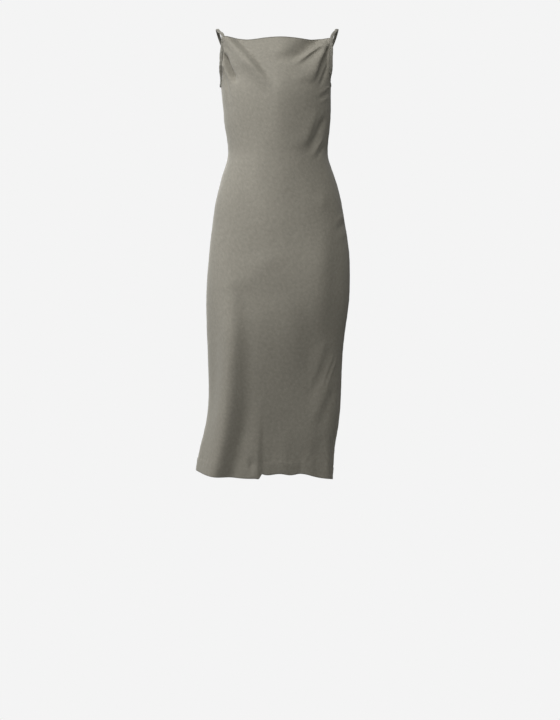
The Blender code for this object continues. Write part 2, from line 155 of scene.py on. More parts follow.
# Levels of the top edges and of the hem. across runs from -1 at a panel's right edge to 1 at its left.
NECK_EDGE = {
    "front": columns(
        "across z",
        [
            (-1,    -27),
            (-0.82, -30),
            (-0.52, -37),
            (-0.2,  -33),
            (0.08,  -31),
            (0.34,  -33),
            (0.62,  -34.5),
            (0.86,  -31),
            (1,     -30),
        ],
    ),
    "back": columns("across z", [(-1, -98), (-0.5, -114), (0, -119), (0.5, -114), (1, -98)]),
}
HEM_EDGE = {
    "front": columns(
        "across z",
        [
            (-1,    -1078),
            (-0.7,  -1081),
            (-0.5,  -1085),
            (-0.3,  -1089),
            (-0.18, -1090),
            (-0.14, -1091),
            (-0.128, -1090),
            (-0.116, -1082),
            (-0.1, -1081),
            (0,     -1081),
            (0.15,  -1085),
            (0.25,  -1083),
            (0.5,   -1091),
            (0.75,  -1098),
            (1,     -1103),
        ],
    ),
    "back": columns("across z", [(-1, -1078), (-0.4, -1086), (0.3, -1093), (1, -1103)]),
}

# Folds, each along a crest or trough line that bends once. x is measured across the panel as seen square on,
# w is how wide the fold is, and push is how far the cloth stands out (or in, below zero). steep leans the
# fold: above zero, the side towards +X is the steep one. fade is the share of the line over which it begins
# or ends. The broad folds are in the solid too, close to these, and the fine ones are only here.
FOLD_COLUMNS = "x_top z_top x_mid x_low z_low w_top w_low push steep fade_top fade_low".split()
FOLDS = {
    "front": {
        "neck_right_ridge": (-119, -27, -61, -20, -172, 12, 20, 18.5, 0.5, 0.0, 0.55),
        "neck_right_trough": (-110, -27, -74, -36, -102, 9, 13, -5.0, 0.2, 0.0, 0.7),
        "neck_right_groove": (-118, -48, -112, -104, -78, 3, 4, -1.2, 0.0, 0.2, 0.5),
        "arm_right_ridge": (-139, -60, -124, -106, -146, 5, 6.5, 5.0, 0.3, 0.2, 0.4),
        "arm_right_trough": (-133, -62, -117, -98, -148, 6.5, 8.5, -16.0, -0.2, 0.2, 0.4),
        "arm_right_groove": (-131, -98, -121, -103, -208, 4, 9, -3.5, 0.0, 0.1, 0.5),
        "neck_left_trough": (118, -26, 66, 14, -104, 12, 18, -12.5, 0.65, 0.0, 0.4),
        "neck_left_hollow": (98, -24, 88, 76, -140, 38, 40, -10.0, 0.0, 0.0, 0.5),
        "neck_left_roll": (12, -24, 12, 14, -110, 22, 24, 2.5, 0.0, 0.0, 0.6),
        "neck_left_crease": (116, -47, 82, 46, -108, 6.5, 8.5, -5.0, -0.5, 0.2, 0.4),
        "neck_left_pull": (128, -28, 84, 38, -100, 4.5, 6, 3.5, 0.3, 0.0, 0.5),
        "neck_left_ridge": (123, -34, 96, 77, -148, 17, 20, 12.0, 0.65, 0.2, 0.35),
        "arm_left_trough": (143, -44, 119, 100, -160, 10, 12, -4.0, -0.1, 0.15, 0.45),
        "arm_left_crease": (124, -84, 111, 95, -146, 3, 3.6, 1.8, 0.0, 0.2, 0.4),
        "arm_left_groove": (126, -100, 112, 96, -160, 3.5, 6, -1.8, 0.0, 0.1, 0.5),
        "arm_left_low_ridge": (126, -144, 110, 93, -174, 3, 5, 1.5, 0.0, 0.1, 0.5),
        "arm_left_low_groove": (126, -158, 110, 94, -188, 4, 6, -1.4, 0.0, 0.1, 0.5),
        "arm_left_last_ridge": (124, -170, 112, 100, -194, 4, 5, 1.0, 0.0, 0.1, 0.5),
        "centre_ridge": (4, -96, 2, 0, -310, 24, 26, 2.0, 0.0, 0.35, 0.4),
        "waist_left_ridge": (94, -200, 77, 54, -306, 13, 15, 3.0, 0.4, 0.4, 0.3),
        "waist_left_trough": (116, -210, 97, 68, -322, 11, 13, -5.0, 0.0, 0.3, 0.4),
        "waist_left_crease": (113, -264, 98, 79, -324, 3.5, 5, 2.0, 0.2, 0.3, 0.4),
        "waist_left_groove": (118, -282, 103, 86, -336, 4, 6, -1.8, 0.0, 0.3, 0.5),
        "waist_right_flat": (-66, -150, -76, -80, -580, 44, 50, -5.0, 0.0, 0.4, 0.5),
        "belly": (12, -300, 14, 10, -440, 20, 22, 1.5, 0.0, 0.5, 0.5),
        "hip_left": (109, -390, 109, 109, -460, 15, 16, 2.0, 0.0, 0.5, 0.5),
        "thigh_front": (20, -500, 24, 26, -880, 120, 110, 7.0, 0.0, 0.5, 0.5),
        "side_left_pucker_a": (166, -452, 150, 138, -484, 4, 6, 2.2, 0.0, 0.2, 0.6),
        "side_left_pucker_b": (168, -470, 152, 138, -506, 4, 6, -2.0, 0.0, 0.2, 0.6),
        "side_left_pucker_c": (170, -492, 154, 140, -528, 4, 6, 2.0, 0.0, 0.2, 0.6),
        "hip_left_edge": (118, -440, 104, 106, -790, 34, 34, 8.0, 0.15, 0.4, 0.4),
        "thigh_ridge": (0, -530, -52, -112, -650, 34, 34, 2.6, 0.2, 0.4, 0.3),
        "thigh_crease": (6, -610, -52, -104, -730, 36, 38, -1.2, 0.0, 0.4, 0.5),
        "stride_leg": (-124, -540, -101, -153, -1120, 31, 30, 29.0, 0.3, 0.5, 0.0),
        "stride_flank": (-96, -600, -78, -112, -1120, 50, 50, 9.0, 0.0, 0.5, 0.0),
        "left_leg_back": (64, -560, 64, 64, -1120, 100, 94, -18.0, 0.0, 0.6, 0.0),
        "left_thigh_ridge": (26, -610, 42, 58, -945, 30, 30, 3.0, 0.2, 0.4, 0.5),
        "left_leg_diagonal_ridge": (117, -750, 100, 66, -900, 13, 16, 2.0, 0.2, 0.2, 0.5),
        "left_leg_diagonal_groove": (136, -765, 110, 80, -912, 10, 12, -1.0, 0.0, 0.2, 0.5),
        "left_side_ridge": (141, -788, 121, 96, -914, 4, 6, 1.2, 0.0, 0.2, 0.5),
        "left_side_low_ridge": (150, -800, 133, 118, -896, 4, 6, 1.8, 0.0, 0.2, 0.5),
        "left_thigh_ledge": (138, -840, 110, 80, -985, 15, 16, 2.4, 0.2, 0.3, 0.5),
        "left_thigh_trough": (147, -860, 126, 103, -1000, 13, 15, -2.2, 0.0, 0.3, 0.5),
        "left_hem_trough": (106, -965, 108, 111, -1112, 17, 19, -3.5, 0.0, 0.5, 0.0),
        "left_hem_ridge": (130, -950, 131, 131, -1112, 12, 13, 3.0, 0.0, 0.6, 0.0),
        "right_leg_trough": (-65, -840, -82, -121, -1112, 18, 17, -6.5, 0.0, 0.6, 0.0),
        "hem_overlap": (-42, -900, -47, -50, -1112, 14, 17, 8.5, 0.86, 0.97, 0.0),
        "hem_mid_ridge": (16, -960, 16, 16, -1112, 18, 20, 3.0, 0.0, 0.7, 0.0),
        "hem_left_groove": (60, -1022, 60, 59, -1112, 8, 10, -2.0, 0.0, 0.6, 0.0),
        "hem_dimple": (-61, -1030, -61, -62, -1086, 7, 9, -4.0, 0.0, 0.5, 0.5),
        "hem_left_tuck": (24, -1050, 24, 24, -1120, 62, 62, -7.0, 0.0, 1.0, 0.0),
        "arm_right_notch": (-134, -58, -132, -129, -74, 2.4, 2.4, -4.0, 0.0, 0.2, 0.4),
        "arm_left_notch": (130, -86, 127, 121, -102, 2.4, 2.6, -6.0, 0.0, 0.25, 0.4),
    },
    "back": {
        "shoulder_blade_right": (-58, -130, -56, -50, -250, 46, 38, 4.0, 0.0, 0.5, 0.5),
        "shoulder_blade_left": (56, -130, 56, 50, -250, 46, 38, 4.0, 0.0, 0.5, 0.5),
        "spine_hollow": (0, -130, 0, 2, -400, 26, 22, -4.0, 0.0, 0.4, 0.4),
        "waist_right_trough": (-104, -230, -86, -52, -322, 8, 13, -4.5, 0.0, 0.4, 0.5),
        "waist_left_trough": (102, -244, 88, 58, -336, 8, 12, -4.0, 0.0, 0.4, 0.5),
        "seat_right_trough": (-30, -560, -38, -62, -700, 14, 20, -4.0, 0.0, 0.5, 0.5),
        "seat_left_trough": (34, -600, 46, 70, -760, 14, 20, -4.5, 0.0, 0.5, 0.5),
        "trailing_leg": (60, -700, 66, 66, -1120, 56, 52, 22.0, 0.0, 0.95, 0.0),
        "hem_right_cone": (-112, -740, -120, -132, -1120, 22, 20, 13.0, 0.0, 0.9, 0.0),
        "hem_right_trough": (-66, -700, -70, -80, -1120, 20, 19, -13.0, 0.0, 0.9, 0.0),
        "hem_mid_cone": (-16, -800, -20, -24, -1120, 18, 19, 12.0, 0.0, 0.9, 0.0),
        "hem_mid_trough": (24, -780, 22, 20, -1120, 18, 16, -11.0, 0.0, 0.9, 0.0),
        "hem_left_trough": (96, -820, 98, 100, -1120, 16, 16, -9.0, 0.0, 0.9, 0.0),
        "top_right_groove": (-92, -104, -70, -44, -176, 6, 10, -2.6, 0.0, 0.1, 0.6),
        "top_right_ridge": (-104, -112, -84, -62, -190, 6, 10, 2.4, 0.0, 0.1, 0.6),
        "top_left_groove": (84, -104, 62, 40, -168, 5, 10, -2.4, 0.0, 0.1, 0.6),
        "arm_right_groove": (-118, -140, -100, -82, -206, 4, 7, -2.4, 0.0, 0.4, 0.5),
        "arm_left_groove": (114, -130, 98, 82, -204, 4, 7, -2.8, 0.0, 0.3, 0.5),
        "arm_left_ridge": (120, -146, 106, 90, -212, 3.5, 6, 2.0, 0.0, 0.3, 0.5),
        "waist_right_ridge": (-112, -262, -96, -76, -330, 4, 6, 2.6, 0.0, 0.3, 0.4),
        "waist_right_groove": (-116, -290, -98, -74, -352, 4, 7, -2.0, 0.0, 0.3, 0.5),
        "waist_left_ridge": (112, -276, 96, 76, -342, 4, 6, 2.2, 0.0, 0.3, 0.5),
        "small_of_back_ridge": (-46, -318, -6, 34, -352, 6, 7, 1.8, 0.0, 0.4, 0.4),
        "small_of_back_groove": (-40, -338, 0, 44, -374, 6, 8, -1.8, 0.0, 0.4, 0.4),
        "thigh_right_groove": (-120, -640, -104, -84, -792, 8, 11, -2.6, 0.0, 0.4, 0.5),
        "thigh_left_ridge": (116, -700, 102, 80, -842, 7, 10, 2.4, 0.0, 0.4, 0.5),
    },
}


# ---------------------------------------------------------------- curves through tables
def through(x, xs, ys):
    """The smoothest curve through a table's points (a natural cubic spline), held level beyond its ends."""
    order = np.argsort(xs)
    xs, ys = np.asarray(xs, float)[order], np.asarray(ys, float)[order]
    step = np.diff(xs)
    size = len(xs)
    system = np.eye(size)
    change = np.zeros(size)
    for i in range(1, size - 1):
        system[i, i - 1 : i + 2] = step[i - 1], 2 * (step[i - 1] + step[i]), step[i]
        change[i] = 6 * ((ys[i + 1] - ys[i]) / step[i] - (ys[i] - ys[i - 1]) / step[i - 1])
    bend = np.linalg.solve(system, change)
    x = np.clip(x, xs[0], xs[-1])
    i = np.clip(np.searchsorted(xs, x) - 1, 0, size - 2)
    left, right = (xs[i + 1] - x) / step[i], (x - xs[i]) / step[i]
    cubic = (left**3 - left) * bend[i] + (right**3 - right) * bend[i + 1]
    return left * ys[i] + right * ys[i + 1] + cubic * step[i] ** 2 / 6


def eased(t):
    """0 to 1 with no corner at either end."""
    t = np.clip(t, 0, 1)
    return t * t * (3 - 2 * t)


def unit(v):
    """Each vector at length 1."""
    return v / np.linalg.norm(v, axis=-1, keepdims=True)


def lengths(points):
    """The running length along a line of points."""
    return np.concatenate([[0], np.cumsum(np.linalg.norm(np.diff(points, axis=0), axis=1))])


# ---------------------------------------------------------------- the form of a panel
def half_width(panel, side, z):
    """From the centre line to the panel's side edge, as seen square on."""
    whole = through(z, SECTIONS["z"], SECTIONS[side])
    if panel == "back":
        return np.where(z > UNDERARM, through(z, BACK_WIDTH["z"], BACK_WIDTH[side]), whole)
    return whole


def edge_depth(panel, z):
    """How far the panel's side edge lies from the side seam's plane: nothing below the underarm."""
    climbed = np.clip((z - UNDERARM) / SCOOP_HEIGHT[panel], 0, 1)
    return SCOOP_DEPTH[panel] * (1 - (1 - climbed) ** 2) ** SCOOP_ROUNDNESS


def ring(panel, s, z):
    """Points of the smooth form at level z, with s from -1 at the right edge to 1 at the left edge."""
    depth = through(z, SECTIONS["z"], SECTIONS[panel])
    full = through(z, SECTIONS["z"], SECTIONS["full"]) if panel == "front" else BACK_FULLNESS
    half = np.where(s < 0, half_width(panel, "right", z), half_width(panel, "left", z))
    turn = np.arccos(np.clip(edge_depth(panel, z) / depth, 0, 1) ** (full / 2))
    power = 2 / full
    x = np.sign(s) * half * np.sin(np.abs(s) * turn) ** power
    y = FACING[panel] * (depth * np.cos(np.abs(s) * turn) ** power + SEAM_GAP / 2)
    return x, y


def along(x, y):
    """Length of cloth from the centre line to each point of a ring, below zero on the right."""
    run = np.concatenate([[0], np.cumsum(np.hypot(np.diff(x), np.diff(y)))])
    return run - np.interp(0, x, run)


def girth(panel, x, z):
    """The length of cloth from the centre line to the point that lies x across at level z."""
    ring_x, ring_y = ring(panel, np.linspace(-1, 1, DENSE), np.full(DENSE, float(z)))
    return np.interp(x, ring_x, along(ring_x, ring_y))


def fold_lines(panel):
    """Each fold of a panel with its line as three lengths of cloth, at its top, middle and low end."""
    lines = []
    for row in FOLDS[panel].values():
        fold = dict(zip(FOLD_COLUMNS, row))
        fold["top"] = girth(panel, fold["x_top"], fold["z_top"])
        fold["mid"] = girth(panel, fold["x_mid"], (fold["z_top"] + fold["z_low"]) / 2)
        fold["low"] = girth(panel, fold["x_low"], fold["z_low"])
        lines.append(fold)
    return lines


def fold_push(fold, cloth, z):
    """How far one fold moves the cloth outwards, at the given lengths of cloth and levels."""
    height = fold["z_top"] - fold["z_low"]
    down = (fold["z_top"] - z) / height
    bend = fold["top"] - 2 * fold["mid"] + fold["low"]
    slope = 4 * fold["mid"] - 3 * fold["top"] - fold["low"]
    line = fold["top"] + down * slope + 2 * bend * down**2
    off = (cloth - line) / np.sqrt(1 + ((slope + 4 * bend * down) / height) ** 2)
    width = fold["w_top"] + (fold["w_low"] - fold["w_top"]) * np.clip(down, 0, 1)
    off = off / (width * (1 - fold["steep"] * np.tanh(off / width)))
    begun = eased(down / fold["fade_top"]) if fold["fade_top"] else (down >= 0)
    ended = eased((1 - down) / fold["fade_low"]) if fold["fade_low"] else (down <= 1)
    return fold["push"] * begun * ended * np.exp(-(off**2))


def stepped(high, low):
    """Levels from high down to low, both counted, spaced as the table of row steps says."""
    fine = np.linspace(high, low, 400)
    step = through(fine[1:], ROW_STEPS["z"], ROW_STEPS["step"])
    count = np.concatenate([[0], np.cumsum((high - low) / (len(fine) - 1) / step)])
    return np.interp(np.linspace(0, count[-1], max(2, int(round(count[-1])) + 1)), count, fine)


def panel_levels(panel):
    """Nominal levels of the fine rows: close round the armhole's foot, close at the hem, even elsewhere."""
    top = TOP_LEVEL[panel]
    height = min(SCOOP_HEIGHT[panel], top - UNDERARM)
    neck = stepped(top, UNDERARM + height) if panel == "front" else np.array([0.0])
    scoop = UNDERARM + height * (1 - np.cos(np.linspace(math.pi / 2, 0, SCOOP_ROWS)))
    below = UNDERARM - FOOT_ROWS
    body = stepped(below[-1], HEM_LEVEL + HEM_BAND)[1:]
    hem = np.linspace(HEM_LEVEL + HEM_BAND, HEM_LEVEL, HEM_ROWS)[1:]
    return np.concatenate([neck[:-1], scoop, below, body, hem])


def panel_grid(panel):
    """The panel's folded points, a row for each level and evenly spaced columns across the cloth."""
    top = TOP_LEVEL[panel]
    lines = fold_lines(panel)
    s = np.linspace(-1, 1, DENSE)
    neck_shape = through(s, NECK_EDGE[panel]["across"], NECK_EDGE[panel]["z"]) - top
    hem_shape = through(s, HEM_EDGE[panel]["across"], HEM_EDGE[panel]["z"]) - HEM_LEVEL
    rows = []
    for nominal in panel_levels(panel):
        near_top = eased((nominal - top) / TOP_SETTLE[panel] + 1)
        near_hem = eased((HEM_LEVEL - nominal) / HEM_SETTLE + 1)
        z = nominal + near_top * neck_shape + near_hem * hem_shape
        x, y = ring(panel, s, z)
        cloth = along(x, y)
        push = sum(fold_push(fold, cloth, z) for fold in lines)
        calm = SEAM_CALM + (ARMHOLE_CALM - SEAM_CALM) * eased((nominal - UNDERARM) / CALM_BLEND)
        push = push * eased((cloth - cloth[0]) / calm) * eased((cloth[-1] - cloth) / calm)
        dx, dy = np.gradient(x, cloth), np.gradient(y, cloth)
        outward = np.hypot(dx, dy) * FACING[panel]
        x, y = x - push * dy / outward, y + push * dx / outward
        run = np.concatenate([[0], np.cumsum(np.hypot(np.diff(x), np.diff(y)))])
        share = np.linspace(0, 1, PANEL_COLUMNS[panel])
        at = run[-1] * (share - EDGE_CLOSER * np.sin(2 * np.pi * share) / (2 * np.pi))
        rows.append(np.stack([np.interp(at, run, v) for v in (x, y, z)], axis=1))
    return np.stack(rows)


def grid_normals(points, facing):
    """The outward normal at each grid point."""
    across = np.gradient(points, axis=1)
    down = np.gradient(points, axis=0)
    return unit(np.cross(across, down) * facing)


def cloth_lengths(points):
    """For each grid point its length of cloth across from the centre column and down from the top row."""
    across = np.cumsum(np.linalg.norm(np.diff(points, axis=1, prepend=points[:, :1]), axis=2), axis=1)
    down = np.cumsum(np.linalg.norm(np.diff(points, axis=0, prepend=points[:1]), axis=2), axis=0)
    middle = points.shape[1] // 2
    return across - across[:, middle : middle + 1], down


def armhole_rows(panel):
    """How many rows lie from the panel's top corner down to the underarm, both counted."""
    return int(np.sum(panel_levels(panel) >= UNDERARM - 0.01))


# ---------------------------------------------------------------- fine relief on a panel
def gathers(seed, span, pitch, reach, height, lean=0.0):
    """Small gathers along an edge: where each starts, which way it leans, its width, reach and height."""
    rng = random.Random(seed)
    at, found = pitch / 2, []
    while at < span:
        found.append(
            {
                "at": at,
                "lean": lean + rng.uniform(-GATHER_LEAN, GATHER_LEAN),
                "width": pitch * rng.uniform(*GATHER_RANGES["width"]),
                "reach": reach * rng.uniform(*GATHER_RANGES["reach"]),
                "height": height * rng.uniform(*GATHER_RANGES["height"]),
            }
        )
        at += pitch * rng.uniform(*GATHER_RANGES["pitch"])
    return found


def gather_relief(found, position, distance):
    """How far the gathers of an edge lift the cloth, at a position along it and a distance in from it."""
    lifted = 0
    for g in found:
        spread = g["width"] * (1 + distance / g["reach"] * GATHER_WIDENING)
        off = (position - g["at"] - g["lean"] * distance) / spread
        lifted = lifted + g["height"] * np.exp(-(off**2)) * np.exp(-((distance / g["reach"]) ** 2))
    return lifted


def groove(distance, depth, width):
    """How deep a rounded groove is, at a distance from its line."""
    return depth * np.exp(-((distance / width) ** 2))


def rippled(points, scale, stretch=1.0):
    """Smooth noise between about -1 and 1 at each point, with features of about scale mm."""
    flat = points.reshape(-1, 3) / (scale, scale, scale * stretch)
    return np.array([noise.noise(Vector(p)) for p in flat]).reshape(points.shape[:2])


def relieved(panel, points):
    """The grid with its small relief: gathers, seam and hem puckers, the turned hem and soft unevenness."""
    normal = grid_normals(points, FACING[panel])
    normal[:, :2], normal[:, -2:] = normal[:, 2:3], normal[:, -3:-2]
    underarm = armhole_rows(panel) - 1
    normal[underarm:, [0, 1, -2, -1], 1] = 0
    across, down = cloth_lengths(points)
    up = down[-1:] - down
    relief = sum(height * rippled(points + place, size, stretch) for height, size, stretch, place in RIPPLES)
    for number, side in enumerate(SIDES):
        column = 0 if side == "right" else -1
        edge = np.abs(across - across[:, [column]])
        run = lengths(points[: underarm + 1, column])
        position = np.full(len(points), run[-1])
        position[: underarm + 1] = run
        arm = gathers(11 * number + len(panel), run[-1], *ARMHOLE_GATHERS)
        relief = relief + gather_relief(arm, position[:, None], edge) * (position < run[-1])[:, None]
        seam_run = down - down[underarm : underarm + 1]
        below = eased(seam_run / UNDERARM_BLEND)
        seam = gathers(5 + 7 * number + len(panel), SEAM_SPAN, *SEAM_GATHERS)
        relief = relief + gather_relief(seam, seam_run, edge) * below
        relief = relief - groove(edge, *SEAM_GROOVE) * below
        relief = relief - groove(edge, *BINDING_GROOVE) * (1 - below) * eased(-seam_run / UNDERARM_BLEND)
    hem = gathers(31 + len(panel), HEM_SPAN, *HEM_GATHERS)
    relief = relief + gather_relief(hem, across + HEM_SPAN / 2, np.abs(up - HEM_TURN))
    relief = relief + HEM_PROUD * (1 - eased((up - HEM_TURN + HEM_STEP / 2) / HEM_STEP))
    relief = relief - groove(up - HEM_TURN, *HEM_GROOVE)
    return points + normal * relief[..., None]


# ---------------------------------------------------------------- meshes
def mesh_object(name, vertices, faces, material, uv=None):
    """A smooth mesh from points in mm, with the lengths of cloth as UVs where they are given."""
    mesh = bpy.data.meshes.new(name)
    mesh.from_pydata((np.asarray(vertices) * MM).tolist(), [], faces)
    mesh.update()
    if uv is not None:
        layer = mesh.uv_layers.new(name="cloth")
        corners = np.empty(len(mesh.loops), dtype=np.int32)
        mesh.loops.foreach_get("vertex_index", corners)
        layer.data.foreach_set("uv", np.asarray(uv, np.float32)[corners].ravel())
    mesh.shade_smooth()
    obj = bpy.data.objects.new(name, mesh)
    bpy.context.scene.collection.objects.link(obj)
    mesh.materials.append(material)
    return obj


def grid_faces(rows, cols, facing):
    """The quads of a grid, turned so that they look outwards."""
    a = (np.arange(rows - 1)[:, None] * cols + np.arange(cols - 1)[None, :]).ravel()
    quads = np.stack([a, a + 1, a + cols + 1, a + cols], axis=1)
    return (quads if facing > 0 else quads[:, ::-1]).tolist()


def panel_piece(panel, points, materials):
    """One panel as a thin wall that turns over at every edge, with its own look on the inside."""
    rows, cols = points.shape[:2]
    across, down = cloth_lengths(points)
    uv = np.stack([across, -down], axis=-1).reshape(-1, 2) * MM
    faces = grid_faces(rows, cols, FACING[panel])
    obj = mesh_object(f"{panel}_cloth", points.reshape(-1, 3), faces, materials["outside"], uv)
    obj.data.materials.append(materials["inside"])
    solidify = obj.modifiers.new("cloth", "SOLIDIFY")
    solidify.thickness = SHELL * MM
    solidify.offset = -1
    solidify.material_offset = 1
    return obj


TUBE_HALF_ROUND = 5  # length of cloth taken for half the way round a strip


def tube(line, normal, wide, thick, sides, squareness, closed):
    """Vertices and faces of a strip of rounded flat section swept along a line, with its lengths as UVs."""
    count = len(line)
    if closed:
        tangent = unit(np.roll(line, -1, axis=0) - np.roll(line, 1, axis=0))
    else:
        tangent = unit(np.gradient(line, axis=0))
    across = unit(np.cross(tangent, normal))
    out = np.cross(across, tangent)
    angles = (np.arange(sides) + 0.5) * 2 * math.pi / sides
    section_x = np.sign(np.cos(angles)) * np.abs(np.cos(angles)) ** squareness / 2
    section_y = np.sign(np.sin(angles)) * np.abs(np.sin(angles)) ** squareness / 2
    loops = (
        line[:, None]
        + across[:, None] * (np.broadcast_to(wide, count)[:, None] * section_x)[..., None]
        + out[:, None] * (np.broadcast_to(thick, count)[:, None] * section_y)[..., None]
    )
    run = lengths(line)
    uv = np.stack(np.broadcast_arrays(angles / math.pi * TUBE_HALF_ROUND, run[:, None]), axis=-1)
    here = np.arange(count if closed else count - 1)[:, None] * sides
    there = np.roll(np.arange(count), -1)[: len(here), None] * sides
    k = np.arange(sides)[None, :]
    n = (k + 1) % sides
    faces = np.stack([here + k, there + k, there + n, here + n], axis=-1).reshape(-1, 4).tolist()
    if not closed:
        faces.append(list(range(sides))[::-1])
        faces.append([(count - 1) * sides + i for i in range(sides)])
    return loops.reshape(-1, 3), faces, uv.reshape(-1, 2) * MM


def evenly(line, normal, step, closed=False):
    """The line and its normals resampled at an even step along its length."""
    if closed:
        line, normal = np.concatenate([line, line[:1]]), np.concatenate([normal, normal[:1]])
    run = lengths(line)
    count = int(run[-1] / step) + 1
    even = np.linspace(0, run[-1], count, endpoint=not closed)
    line = np.stack([np.interp(even, run, line[:, k]) for k in range(3)], axis=1)
    normal = unit(np.stack([np.interp(even, run, normal[:, k]) for k in range(3)], axis=1))
    return line, normal, even


# ---------------------------------------------------------------- bindings and straps
# The left strap's middle line where it is free, from the neck corner over the shoulder to the back.
STRAP_ROUTE = columns(
    "x     y     z",
    [
        (141,  -24,  -10.5),
        (146,  -9,   -2.4),
        (147,  4,    -1.3),
        (146,  19,   -6),
        (140,  38,   -25),
        (129,  56,   -55),
        (116,  69,   -84),
    ],
)
GUIDE_ROWS = {"front": 4, "back": 6}  # how many rows down the bindings the free strap's guide starts and ends
CREST_LIFT = 1.4  # weight of straight up in the way that the free strap faces at its middle
LINE_PASSES = 6  # of smoothing along the middle line
FACE_PASSES = 14  # and of the way that the strip faces
STRAP_STEP = 1.3  # between points along a strap
STRAP_POINTS = 60  # along the free part, before the even steps
STRAP_SIDES = 14
STRAP_SQUARENESS = 0.55  # of its section: 1 is round, and less is squarer
FORWARD_TURN = {"front": 0.9, "back": 0.2}  # how far a binding turns to face straight ahead, or straight back
TURN_SPEED = 1.6  # the turn and the lift are complete at 1 / this of the front scoop's height
PUCKER_BLEND = 6.0  # the puckers end over this length where the strap leaves the cloth
PUCKER_NARROWS = 0.1  # share by which a pucker 1 high makes the strip narrower
PUCKER_THICKENS = 0.3  # and thicker
PUCKER_LIFTS = 0.5  # and how far it lifts the middle line
FREE_THINNER = 0.12  # share by which the free strap is thinner than the binding
STRAP_WAVER = 0.05  # share by which the width wavers
STRAP_WAVES = 34.0  # size of those waves


def edge_frames(panel, points, side):
    """Points of the binding's middle line beside one armhole edge, and the way the binding faces there."""
    facing = FACING[panel]
    edge = points[: armhole_rows(panel), 0 if side == "right" else -1]
    x, y, z = edge.T
    half, depth = half_width(panel, side, z), through(z, SECTIONS["z"], SECTIONS[panel])
    outward = unit(np.stack([x / half**2, y / depth**2, 0 * x], axis=1))
    tangent = unit(np.gradient(edge, axis=0))
    level = np.clip((z[:, None] - UNDERARM) / SCOOP_HEIGHT["front"], 0, 1)
    turned = eased(level * TURN_SPEED)
    forward = FORWARD_TURN[panel] * turned
    face = outward * (1 - forward) + np.array([0, facing, 0]) * forward
    face = unit(face - tangent * (face * tangent).sum(axis=1, keepdims=True))
    beyond = np.cross(tangent, face)
    beyond *= -np.sign(beyond @ np.array([-SIDES[side], facing, -1]))[:, None]
    lift = FOOT_LIFT[side] + (BINDING_LIFT - FOOT_LIFT[side]) * turned
    return edge + beyond * (STRAP_WIDTH / 2 - BINDING_LAP) + outward * lift, face


def smoothed(values, passes):
    """A closed run of values, each averaged with its neighbours a number of times."""
    for _ in range(passes):
        padded = np.concatenate([values[-1:], values, values[:1]])
        values = (padded[:-2] + 2 * padded[1:-1] + padded[2:]) / 4
    return values


def strap_path(side, grids):
    """The strip's middle line as a closed loop, the way it faces, and where on it the free strap runs."""
    front, front_normal = edge_frames("front", grids["front"], side)
    back, back_normal = edge_frames("back", grids["back"], side)
    route = np.stack([STRAP_ROUTE["x"] * SIDES[side], STRAP_ROUTE["y"], STRAP_ROUTE["z"]], axis=1)
    # The guide starts and ends a few rows down the bindings, so the strap leaves them in their own direction.
    guide = np.concatenate([front[[GUIDE_ROWS["front"], 0]], route, back[[0, GUIDE_ROWS["back"]]]])
    run = lengths(guide)
    even = np.linspace(run[1], run[-2], STRAP_POINTS)[1:-1]
    over = np.stack([through(even, run, guide[:, k]) for k in range(3)], axis=1)
    share = np.linspace(0, 1, len(over) + 2)[1:-1, None]
    lift = np.array([0, 0, 1.0]) * np.sin(np.pi * share)
    over_normal = unit(front_normal[0] * (1 - share) ** 2 + back_normal[0] * share**2 + CREST_LIFT * lift)
    underarm = (front[-1:] + back[-1:]) / 2
    line = np.concatenate([underarm, front[-2::-1], over, back[:-1]])
    normal = np.concatenate([front_normal[::-1], over_normal, back_normal[:-1]])
    front_end = lengths(line)[len(front) - 1]
    back_start = lengths(line)[len(front) - 1 + len(over)]
    line, normal, even = evenly(line, normal, STRAP_STEP, closed=True)
    return smoothed(line, LINE_PASSES), unit(smoothed(normal, FACE_PASSES)), even, (front_end, back_start)


def strap_piece(side, grids, material):
    """One strip: smooth over the shoulder, and puckered where it is stitched round the armhole."""
    line, normal, run, (front_end, back_start) = strap_path(side, grids)
    free = eased((run - front_end) / PUCKER_BLEND) * eased((back_start - run) / PUCKER_BLEND)
    rng = random.Random(len(side))
    puckers = gathers(3 * len(side), run[-1], *STRAP_GATHERS)
    relief = gather_relief(puckers, run, 0 * run) * (1 - free)
    wobble = np.array([noise.noise(Vector((r / STRAP_WAVES, rng.random() * 0.01, 3.7))) for r in run])
    wide = STRAP_WIDTH * (1 + STRAP_WAVER * wobble - PUCKER_NARROWS * relief * (1 - free))
    thick = STRAP_THICKNESS * (1 + PUCKER_THICKENS * relief - FREE_THINNER * free)
    line = line + normal * (PUCKER_LIFTS * relief[:, None])
    vertices, faces, uv = tube(line, normal, wide, thick, STRAP_SIDES, STRAP_SQUARENESS, closed=True)
    return mesh_object(f"strap_{side}_strip", vertices, faces, material, uv)


# ---------------------------------------------------------------- edges and stitches
ROLL_WIDTH = 2.3
ROLL_THICKNESS = 2.0
ROLL_RISE = 0.4  # of its middle above the edge of the cloth
ROLL_WAVER = 0.12  # share by which its width wavers
ROLL_WAVES = 9.0  # size of those waves
ROLL_STEP = 1.6  # between points along it
ROLL_SIDES = 10
ROLL_SQUARENESS = 0.8
STITCH = 2.2  # length of a hem stitch
STITCH_GAP = 0.9
STITCH_BELOW = 1.2  # how far the stitches lie below the edge of the turned hem
STITCH_SIDES = 6
# A stitch from end to end: place along it, how far it stands out of the cloth, and its radius.
STITCH_SHAPE = columns(
    "at out radius",
    [
        (0, -0.1, 0.1),
        (0.2, 0.12, 0.24),
        (0.5, 0.2, 0.26),
        (0.8, 0.12, 0.24),
        (1, -0.1, 0.1),
    ],
)


